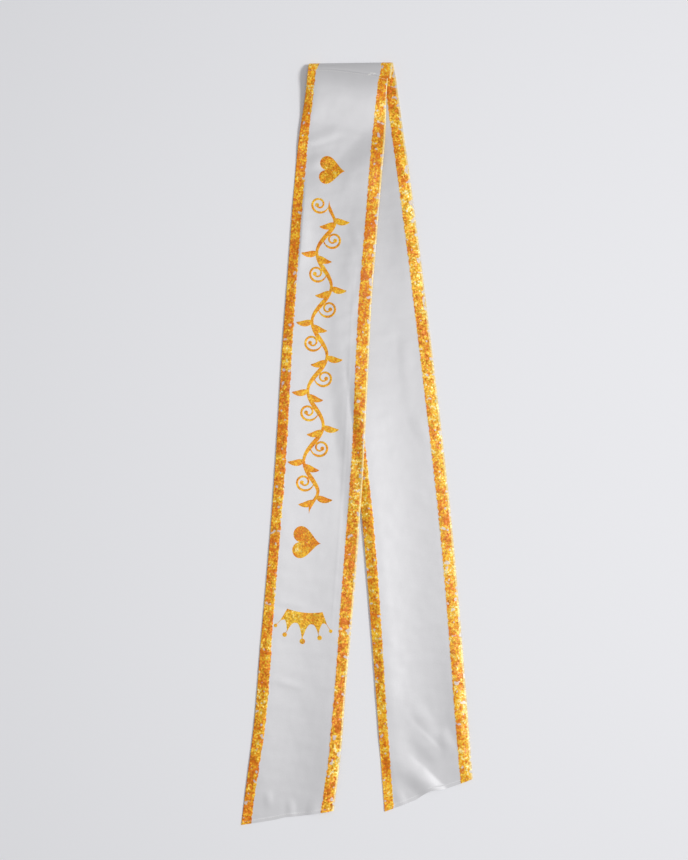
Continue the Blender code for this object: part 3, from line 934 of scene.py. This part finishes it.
def satin(name, tone):
    """White satin with its two glitter borders, for the strips.

    The border covers the places whose inset is positive, give or take a noise that roughs its edge.
    Its gold is darker towards the wide border, as painted shade, and yellows at the wide rim, where a
    pale line runs that is partly worn print and partly painted highlight.  A few flakes are missing.
    The plain satin is darker where it turns over the fold, as painted shade.
    """
    cloth, gold = bpy.context.scene.sash_cloth, bpy.context.scene.sash_print
    material, tree, shader = new_material(name, cloth.colour)
    measure, across, along, inset = measure_nodes(tree)
    to_rim = maths(tree, "SUBTRACT", cloth.width / 2, across)
    rimward = mapped(tree, to_rim, RIMWARD)
    tone = maths(tree, "MULTIPLY_ADD", rimward, RIM_HUE, tone)
    leaf, flake_height = glitter_nodes(tree, measure, gold.flake, tone)
    # Painted shade: the gold is darkened towards the wide border
    leaf = scaled(tree, leaf, mapped(tree, across, WIDE_SIDE_PAINTED_SHADE))
    # The pale line at the wide rim: partly worn print, partly painted highlight
    leaf = blend(tree, mapped(tree, to_rim, RIM_WORN_PRINT_AND_HIGHLIGHT), leaf, PALE_GOLD)

    rough = noise(tree, measure, EDGE_PATCH, 1.0)
    inset = maths(tree, "SUBTRACT", inset, EDGE_ROUGHNESS / 2)
    covered = mapped(tree, maths(tree, "MULTIPLY_ADD", rough, EDGE_ROUGHNESS, inset), COVERING)
    worn = maths(tree, "MULTIPLY_ADD", rimward, RIM_WEAR, noise(tree, measure, WEAR_PATCH, 1.0))
    covered = maths(tree, "MULTIPLY", covered, mapped(tree, worn, WEARING))

    paler = tuple(min(1.0, c * PALER) for c in cloth.colour)
    plain = blend(tree, noise(tree, measure, PALE_PATCH, 3.0), (*cloth.colour, 1.0), (*paler, 1.0))
    # Painted shade: the plain satin is darkened where it turns over the fold
    plain = scaled(tree, plain, mapped(tree, maths(tree, "ABSOLUTE", along), FOLD_PAINTED_SHADE))
    tree.links.new(blend(tree, covered, plain, leaf), shader.inputs["Base Color"])
    metallic = maths(tree, "MULTIPLY_ADD", covered, GLITTER_METALLIC - SATIN_METALLIC, SATIN_METALLIC)
    roughness = maths(tree, "MULTIPLY_ADD", covered, GLITTER_ROUGHNESS - SATIN_ROUGHNESS, SATIN_ROUGHNESS)
    tree.links.new(metallic, shader.inputs["Metallic"])
    tree.links.new(roughness, shader.inputs["Roughness"])
    shader.inputs["Specular IOR Level"].default_value = STRIP_SPECULAR

    threads = maths(tree, "MULTIPLY", noise(tree, measure, THREAD_PATCH, 2.0), THREAD_RELIEF)
    relief(tree, shader, maths(tree, "MULTIPLY_ADD", flake_height, covered, threads))
    return material


def thread(name):
    """White polyester thread."""
    colour = linear(232, 230, 226)
    material, _, shader = new_material(name, colour)
    shader.inputs["Base Color"].default_value = (*colour, 1.0)
    shader.inputs["Roughness"].default_value = 0.5
    return material


def heart_outline(turn):
    """A heart's outline, lobes up: the usual sum of cosines, scaled to a height of 1 about its middle."""
    side = 16 * np.sin(turn) ** 3
    up = 13 * np.cos(turn) - 5 * np.cos(2 * turn) - 2 * np.cos(3 * turn) - np.cos(4 * turn)
    return side / 29.0, (up + 2.5) / 29.0


class SASH_OT_front_strip(bpy.types.Operator):
    """Lay the front strip: from the shoulder seam down to its slanted end"""

    bl_idname = "sash.front_strip"
    bl_label = "Front strip"

    def execute(self, context):
        across = cloth_columns()
        across, along = fall_rows("front", seam_at(across) + SEAM_GAP / 2)
        strip = cloth_strip("front_strip", across, along, satin("printed satin", FRONT_TONE))
        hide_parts("front_fall")
        return {"FINISHED"}


class SASH_OT_back_strip(bpy.types.Operator):
    """Lay the back strip: from its slanted end up the surface and over the fold to the seam"""

    bl_idname = "sash.back_strip"
    bl_label = "Back strip"

    def execute(self, context):
        reach = HALF_RUN + half_width() * math.sin(abs(float(np.interp(0.0, ALONG, HEADING))))
        across = cloth_columns()
        across, flat = fall_rows("back", np.full(len(across), reach))
        bend_end = seam_at(across) - SEAM_GAP / 2
        share = np.linspace(0.0, 1.0, int((SEAM_ALONG + reach) / BEND_STEP))[1:, None]
        along = np.concatenate((-flat[::-1], -reach + share * (bend_end + reach)))
        strip = cloth_strip("back_strip", across, along, satin("plain satin", BACK_TONE))
        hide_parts("back_fall", "shoulder_bend")
        return {"FINISHED"}


class SASH_OT_hearts(bpy.types.Operator):
    """Print the two hearts, one at each end of the scroll"""

    bl_idname = "sash.hearts"
    bl_label = "Hearts"

    # piece, across, along, height as a share of the heart size, breadth as a share of the usual
    HEARTS = (
        ("heart_upper", -0.0076, 0.1322, 0.956, 0.983),
        ("heart_lower", -0.0078, 0.5685, 1.019, 1.029),
    )
    POINTS, RINGS, INNERMOST = 96, 14, 0.02

    def execute(self, context):
        gold = context.scene.sash_print
        finish = glitter("heart glitter", *HEART_GLITTER)
        turn = np.linspace(0, 2 * math.pi, self.POINTS, endpoint=False)[None, :]
        share = np.linspace(self.INNERMOST, 1.0, self.RINGS)[:, None]
        side, up = heart_outline(turn)
        for name, across, along, height, breadth in self.HEARTS:
            size = gold.heart_size * height
            grid_across = across - share * up * size
            grid_along = along - share * side * size * breadth
            top = gold.film * (1.0 - share**8) * np.ones_like(grid_across) + RIM_FILM
            heart = film_on(name, grid_across[None], grid_along[None], top[None], finish, ring=True)
        return {"FINISHED"}


class SASH_OT_crown(bpy.types.Operator):
    """Print the crown: a hollowed band, five spikes with arches between them, and a ball on each"""

    bl_idname = "sash.crown"
    bl_label = "Crown"

    ACROSS, ALONG = -0.0036, 0.6455
    TURN = 0.7
    BAND_HOLLOW = 0.0027
    CUSP = 1.3
    NECK_HALF_WIDTH = 0.00028
    HALF_COLUMNS, ROWS = 101, 15
    BALL_POINTS, BALL_RINGS, NECK_POINTS = 24, 6, 8

    # The lower outline from the middle outwards.  share: of the half band.
    OUTLINE = (
        # share, side, depth, kind
        (0.00, 0.0000, 0.0336, "spike"),
        (0.43, 0.0089, 0.0152, "arch"),
        (0.76, 0.0179, 0.0258, "spike"),
        (0.90, 0.0226, 0.0128, "arch"),
        (1.00, 0.0272, 0.0146, "spike"),
    )
    BALLS = (
        # side, depth, radius
        (-0.0316, 0.0203, 0.0021),
        (-0.0202, 0.0296, 0.0026),
        (0.0006, 0.0352, 0.0032),
        (0.0198, 0.0294, 0.0027),
        (0.0316, 0.0206, 0.0021),
    )
    NECKS = (
        # side, depth, side at the ball, depth at the ball
        (-0.0268, 0.0143, -0.0306, 0.0190),
        (-0.0178, 0.0245, -0.0197, 0.0280),
        (0.0000, 0.0320, 0.0004, 0.0340),
        (0.0178, 0.0245, 0.0194, 0.0280),
        (0.0268, 0.0143, 0.0306, 0.0190),
    )

    def placed(self, side, depth):
        """Crown places, sideways along the band and down from it, as (across, along) on the cloth."""
        turn = math.radians(self.TURN)
        across = self.ACROSS + side * math.cos(turn) - depth * math.sin(turn)
        along = self.ALONG + side * math.sin(turn) + depth * math.cos(turn)
        return across, along

    def outline(self, share):
        """Lower outline at each share: between a spike and an arch the depth falls as a cusp.

        With f from 0 at the spike to 1 at the arch, the fall is (1 - sin of f quarter turns) ** CUSP.
        """
        table = [row[:3] for row in self.OUTLINE]
        size = np.abs(share)
        side = np.interp(size, [row[0] for row in table], [row[1] for row in table])
        depth = np.zeros_like(size)
        for start, stop, kind in zip(table[:-1], table[1:], [row[3] for row in self.OUTLINE]):
            f = np.clip((size - start[0]) / (stop[0] - start[0]), 0.0, 1.0)
            fall = (1.0 - np.sin((f if kind == "spike" else 1.0 - f) * math.pi / 2)) ** self.CUSP
            spike, arch = (start[2], stop[2]) if kind == "spike" else (stop[2], start[2])
            within = (size >= start[0]) & (size <= stop[0])
            depth = np.where(within, arch + (spike - arch) * fall, depth)
        return side * np.sign(share), depth

    def execute(self, context):
        gold = context.scene.sash_print
        finish = glitter("crown glitter", *CROWN_GLITTER)
        half = gold.crown_width / 2
        outwards = np.linspace(0.0, 1.0, self.HALF_COLUMNS)
        share = np.concatenate([-outwards[:0:-1], outwards])
        low_side, low_depth = self.outline(share)
        down = (1.0 - np.cos(np.linspace(0.0, math.pi, self.ROWS)))[:, None] / 2
        side = share * half * (1.0 - down) + low_side * down
        depth = self.BAND_HOLLOW * (1.0 - share**2) * (1.0 - down) + low_depth * down
        rim = (1.0 - (2 * down - 1.0) ** 6) * (1.0 - np.abs(share) ** 16)
        across, along = self.placed(side, depth)
        top = gold.film * rim + RIM_FILM
        body = film_on("crown_body", across[None], along[None], top[None], finish)

        balls = np.array(self.BALLS)
        side, down, reach = dot_rings(balls[:, 2], self.BALL_POINTS, self.BALL_RINGS)
        places = self.placed(balls[:, 0, None, None] + side, balls[:, 1, None, None] + down)
        top = np.broadcast_to(gold.film * (1.0 - reach**6) + RIM_FILM, side.shape)
        dots = film_on("crown_balls", *places, top, finish, ring=True)

        necks = np.array(self.NECKS)[:, :, None]
        run = np.linspace(0.0, 1.0, self.NECK_POINTS)
        neck_side = necks[:, 0] + (necks[:, 2] - necks[:, 0]) * run
        neck_depth = necks[:, 1] + (necks[:, 3] - necks[:, 1]) * run
        thin = np.full(neck_side.shape, self.NECK_HALF_WIDTH)
        lines = ribbon("crown_necks", *self.placed(neck_side, neck_depth), thin, gold.film, finish)
        return {"FINISHED"}


class SASH_OT_scroll(bpy.types.Operator):
    """Print the scroll between the hearts: a waving stem with curled tendrils, leaves and berries"""

    bl_idname = "sash.scroll"
    bl_label = "Scroll"

    ACROSS = -0.0080
    START, STOP = 0.1690, 0.5350
    HALF_WAVES = 9
    HALF_STROKE, HALF_TIP = 0.0016, 0.0002

    # The stem: how soon its waves and its breadth set in at the tips, its breadth at the waves'
    # crests, and what it gains between them, as shares of a stroke
    WAVE_ONSET, BREADTH_ONSET = 12, 30
    STEM_BREADTH, STEM_GAIN = 0.95, 0.55

    # The tendrils: their coil, their breadth and what it loses to the tip, and how thin they start
    # and how soon they are full
    TENDRIL_FOOT = 0.12
    TENDRIL_TURNS = 1.45
    TENDRIL_RADIUS = 0.0118
    TENDRIL_CLOSING, CLOSING_POWER = 0.78, 0.8
    TENDRIL_BREADTH, TENDRIL_LOSS = 0.95, 0.35
    TENDRIL_START, TENDRIL_ONSET = 0.35, 6
    BERRY_RADIUS = 0.0024

    # The leaves: LEAF_BELLY moves the broadest place towards the foot, and LEAF_FULLNESS rounds them
    LEAF_FEET = (0.5, 0.62)
    LEAF_LEANS = (0.9, 0.75)
    LEAF_CURL = 0.5
    LEAF_LENGTH = 0.0185
    LEAF_WIDTH = 0.0070
    LEAF_TIP = 0.0003
    LEAF_BELLY, LEAF_FULLNESS = 0.75, 0.8

    # Heights of the films as multiples of the stem's, all different, because they cross it
    TENDRIL_FILM, BERRY_FILM, LEAF_FILM = 1.15, 1.3, 1.1

    STEM_POINTS, TENDRIL_POINTS, LEAF_POINTS = 420, 90, 24
    BERRY_POINTS, BERRY_RINGS = 20, 5

    def stem(self, run):
        """The stem at run from 0 to 1: a sine wave along the band, dying away at both ends."""
        reach = bpy.context.scene.sash_print.scroll_reach
        onset = smoothstep(np.minimum(run, 1 - run) * self.WAVE_ONSET)
        swing = np.sin(run * self.HALF_WAVES * math.pi) * onset
        return self.ACROSS + reach * swing, self.START + (self.STOP - self.START) * run

    def execute(self, context):
        gold = context.scene.sash_print
        finish = glitter("scroll glitter", *SCROLL_GLITTER)
        run = np.linspace(0.0, 1.0, self.STEM_POINTS)[None, :]
        between = np.cos(run * self.HALF_WAVES * math.pi) ** 2
        half = self.HALF_STROKE * (self.STEM_BREADTH + self.STEM_GAIN * between)
        half = half * smoothstep(np.minimum(run, 1 - run) * self.BREADTH_ONSET) + self.HALF_TIP
        stem = ribbon("scroll_stem", *self.stem(run), half, gold.film, finish)

        waves = np.arange(self.HALF_WAVES)[:, None]
        foot = (waves + self.TENDRIL_FOOT) / self.HALF_WAVES
        foot_across, foot_along = self.stem(foot)
        outside = np.where(waves % 2 == 0, -1.0, 1.0)
        turned = np.linspace(0.0, 1.0, self.TENDRIL_POINTS)[None, :]
        angle = turned * self.TENDRIL_TURNS * 2 * math.pi
        radius = self.TENDRIL_RADIUS * (1.0 - self.TENDRIL_CLOSING * turned**self.CLOSING_POWER)
        across = foot_across + outside * (self.TENDRIL_RADIUS - radius * np.cos(angle))
        along = foot_along + radius * np.sin(angle)
        grown = self.TENDRIL_START + (1 - self.TENDRIL_START) * smoothstep(turned * self.TENDRIL_ONSET)
        half = self.HALF_STROKE * (self.TENDRIL_BREADTH - self.TENDRIL_LOSS * turned) * grown
        tendrils = ribbon("scroll_tendrils", across, along, half, gold.film * self.TENDRIL_FILM, finish)

        side, down, reach = dot_rings(self.BERRY_RADIUS, self.BERRY_POINTS, self.BERRY_RINGS)
        across, along = across[:, -1][:, None, None] + side, along[:, -1][:, None, None] + down
        top = np.broadcast_to(gold.film * self.BERRY_FILM * (1.0 - reach**6) + RIM_FILM, across.shape)
        berries = film_on("scroll_berries", across, along, top, finish, ring=True)

        leaf_foot = (waves + np.array([self.LEAF_FEET])).reshape(-1, 1) / self.HALF_WAVES
        leaf_side = (-outside * np.array([[1.0, -1.0]])).reshape(-1, 1)
        leaf_across, leaf_along = self.stem(leaf_foot)
        out = np.linspace(0.0, 1.0, self.LEAF_POINTS)[None, :]
        lean = np.tile(self.LEAF_LEANS, self.HALF_WAVES)[:, None] + self.LEAF_CURL * out
        across = leaf_across + leaf_side * self.LEAF_LENGTH * out * np.sin(lean)
        along = leaf_along + self.LEAF_LENGTH * out * np.cos(lean)
        belly = np.sin(math.pi * out**self.LEAF_BELLY) ** self.LEAF_FULLNESS
        half = np.broadcast_to(self.LEAF_WIDTH / 2 * belly + self.LEAF_TIP, across.shape)
        leaves = ribbon("scroll_leaves", across, along, half, gold.film * self.LEAF_FILM, finish)
        return {"FINISHED"}


class SASH_OT_thread(bpy.types.Operator):
    """Sew the front end hem and the shoulder seam, with a back-tack at the seam's end"""

    bl_idname = "sash.thread"
    bl_label = "Thread"

    PITCH = 0.0026
    LENGTH = 0.0019
    BREADTH = 0.00030
    HEM_MARGIN = 0.0008
    SEAM_MARGIN = 0.0021

    TACK = (
        # across, past the seam, lean
        (0.0262, -0.0017, 0.3),
        (0.0285, -0.0021, -0.2),
        (0.0300, -0.0013, 0.5),
        (0.0312, -0.0024, -0.6),
        (0.0230, 0.0006, 0.1),
        (0.0246, 0.0004, -0.3),
    )
    TACK_LENGTH = 0.0026
    TACK_BREADTH = 0.0008

    def execute(self, context):
        cloth = context.scene.sash_cloth
        finish = thread("white thread")
        count = int(cloth.width / self.PITCH)
        across = (np.arange(count) + 0.5) * self.PITCH - count * self.PITCH / 2
        hem_along = end_of("front", across) - cloth.end_hem + self.HEM_MARGIN
        hem_turn = np.full(count, math.pi / 2 + math.radians(END_SLANT))
        front = stitches("front_hem_thread", across, hem_along, hem_turn, self.LENGTH, self.BREADTH, finish)
        seam_along = seam_at(across) + self.SEAM_MARGIN
        seam_turn = np.full(count, math.pi / 2)
        seam = stitches("seam_thread", across, seam_along, seam_turn, self.LENGTH, self.BREADTH, finish)
        across, past, lean = np.array(self.TACK).T
        along, turn = seam_at(across) + past, math.pi / 2 + lean
        tack = stitches("back_tack", across, along, turn, self.TACK_LENGTH, self.TACK_BREADTH, finish)
        return {"FINISHED"}


class SASH_OT_stage(bpy.types.Operator):
    """Set out the surface, the lights and the camera"""

    bl_idname = "sash.stage"
    bl_label = "Stage"

    VIEW_CENTRE = (-0.0145, 0.0060, 0.0)
    # lamp, power share, distance, size, side, height
    LAMPS = (
        ("key", 1.00, 5.00, 1.40, -2.0, 46.0),
        ("overhead", 0.037, 1.60, 1.00, 90.0, 89.0),
    )
    EVEN_LIGHT = (0.97, 0.98, 1.0, 1.0)
    FLOOR_SIZE = 12.0
    FLOOR_DROP = 0.0002

    def execute(self, context):
        stage = context.scene.sash_stage
        self.surface(stage)
        self.lights(context, stage)
        self.camera(context, stage)
        context.scene.view_settings.view_transform = "Standard"
        return {"FINISHED"}

    def surface(self, stage):
        """Lay a plain pale surface just under the sash."""
        half = self.FLOOR_SIZE / 2
        mesh = bpy.data.meshes.new("surface")
        corners = [(-half, -half, -self.FLOOR_DROP), (half, -half, -self.FLOOR_DROP)]
        corners += [(half, half, -self.FLOOR_DROP), (-half, half, -self.FLOOR_DROP)]
        mesh.from_pydata(corners, [], [(0, 1, 2, 3)])
        material, _, shader = new_material("plain pale surface", stage.floor_colour)
        shader.inputs["Base Color"].default_value = (*stage.floor_colour, 1.0)
        shader.inputs["Roughness"].default_value = 0.85
        shader.inputs["Specular IOR Level"].default_value = 0.2
        mesh.materials.append(material)
        surface = bpy.data.objects.new("surface", mesh)
        bpy.context.scene.collection.objects.link(surface)

    def lights(self, context, stage):
        """Set even light all round, and each lamp as a disc that faces the middle of the surface."""
        world = bpy.data.worlds.new("even light")
        world.use_nodes = True
        background = world.node_tree.nodes["Background"]
        background.inputs["Color"].default_value = self.EVEN_LIGHT
        background.inputs["Strength"].default_value = stage.fill
        context.scene.world = world

        for name, share, distance, size, side, height in self.LAMPS:
            lamp = bpy.data.lights.new(name, "AREA")
            lamp.shape = "DISK"
            lamp.size = size
            lamp.energy = stage.key_power * share
            lit = bpy.data.objects.new(name, lamp)
            side, height = math.radians(side), math.radians(height)
            level = distance * math.cos(height)
            lit.location = (level * math.cos(side), level * math.sin(side), distance * math.sin(height))
            lit.rotation_euler = (0.0, math.pi / 2 - height, side)
            context.scene.collection.objects.link(lit)

    def camera(self, context, stage):
        """Aim the camera at the middle of the view, its height angle above the surface."""
        camera = bpy.data.objects.new("camera", bpy.data.cameras.new("camera"))
        camera.data.lens = stage.lens
        lean = math.pi / 2 - stage.camera_height
        x, y, z = self.VIEW_CENTRE
        distance = stage.camera_distance
        camera.location = (x, y - distance * math.sin(lean), z + distance * math.cos(lean))
        camera.rotation_euler = (lean, 0.0, 0.0)
        context.scene.collection.objects.link(camera)
        context.scene.camera = camera


class SASH_PT_panel(bpy.types.Panel):
    """Lists the sash's steps in the sidebar"""

    bl_label = "Pageant sash"
    bl_idname = "SASH_PT_panel"
    bl_space_type = "VIEW_3D"
    bl_region_type = "UI"
    bl_category = "Sash"

    def draw(self, context):
        for step in STEPS:
            self.layout.operator(step.bl_idname)
        for group in (context.scene.sash_cloth, context.scene.sash_print, context.scene.sash_stage):
            box = self.layout.box()
            for name in type(group).__annotations__:
                box.prop(group, name)


STEPS = (
    SASH_OT_back_strip,
    SASH_OT_front_strip,
    SASH_OT_hearts,
    SASH_OT_crown,
    SASH_OT_scroll,
    SASH_OT_thread,
    SASH_OT_stage,
)
GROUPS = {"sash_cloth": SashCloth, "sash_print": SashPrint, "sash_stage": SashStage}


def register():
    for kind in (*GROUPS.values(), *STEPS, SASH_PT_panel):
        bpy.utils.register_class(kind)
    for name, group in GROUPS.items():
        setattr(bpy.types.Scene, name, bpy.props.PointerProperty(type=group))


def unregister():
    for name in GROUPS:
        delattr(bpy.types.Scene, name)
    for kind in reversed((*GROUPS.values(), *STEPS, SASH_PT_panel)):
        bpy.utils.unregister_class(kind)


def main():
    register()
    bpy.ops.sash.back_strip()
    bpy.ops.sash.front_strip()
    bpy.ops.sash.hearts()
    bpy.ops.sash.crown()
    bpy.ops.sash.scroll()
    bpy.ops.sash.thread()
    bpy.ops.sash.stage()


if __name__ == "__main__":
    main()
